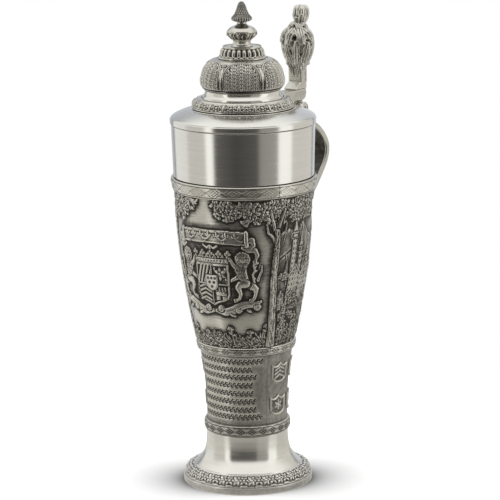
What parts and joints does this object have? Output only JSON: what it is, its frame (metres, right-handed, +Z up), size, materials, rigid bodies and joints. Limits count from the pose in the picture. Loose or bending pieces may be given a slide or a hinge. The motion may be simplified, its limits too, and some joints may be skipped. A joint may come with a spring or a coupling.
{
  "type": "lidded pewter tankard",
  "caption": "Tall waisted lidded tankard in antiqued pewter: relief-cast wall panels, plain drinking band, domed lid with finial, leafy thumblift and ear handle.",
  "frame": {"origin": "centre of the foot's flat underside, on the table", "axes": "+Z up, -Y to the front with the crest, +Y to the handle and hinge"},
  "size_m": [0.0876, 0.1268, 0.2913],
  "materials": {
    "satin_pewter": "satin pewter with fine turned lines",
    "antique_pewter": "antiqued cast pewter, dark in the recesses and rubbed bright on the high points",
    "steel_fittings": "plain drawn steel"
  },
  "bodies": {
    "vessel": {"foot": "satin_pewter", "foot_base_plate": "satin_pewter", "vessel_floor": "satin_pewter", "relief_stave_front": "antique_pewter", "relief_stave_right": "antique_pewter", "relief_stave_left": "antique_pewter", "lip_band": "satin_pewter", "handle": "antique_pewter", "hinge_pin": "steel_fittings", "shield_badge_right_upper_1": "antique_pewter", "shield_badge_right_upper_2": "antique_pewter", "shield_badge_right_upper_3": "antique_pewter", "shield_badge_right_lower_1": "antique_pewter", "shield_badge_right_lower_2": "antique_pewter", "shield_badge_right_lower_3": "antique_pewter", "shield_badge_left_upper_1": "antique_pewter", "shield_badge_left_upper_2": "antique_pewter", "shield_badge_left_upper_3": "antique_pewter", "shield_badge_left_lower_1": "antique_pewter", "shield_badge_left_lower_2": "antique_pewter", "shield_badge_left_lower_3": "antique_pewter"},
    "lid": {"lid_shoulder": "satin_pewter", "lid_border_ring": "antique_pewter", "lid_collar": "satin_pewter", "lid_dome": "antique_pewter", "dome_crown_ring": "antique_pewter", "finial_knop": "satin_pewter", "finial_bud": "antique_pewter", "finial_stud": "steel_fittings", "finial_nut": "steel_fittings", "lid_hinge_strap": "antique_pewter", "thumblift": "antique_pewter"}
  },
  "joints": [
    {"name": "lid_hinge", "type": "hinge", "parent": "vessel", "child": "lid", "pos_m": [0, 0.055, 0.2205], "axis": [-1, 0, 0], "range_deg": [0, 100]}
  ]
}
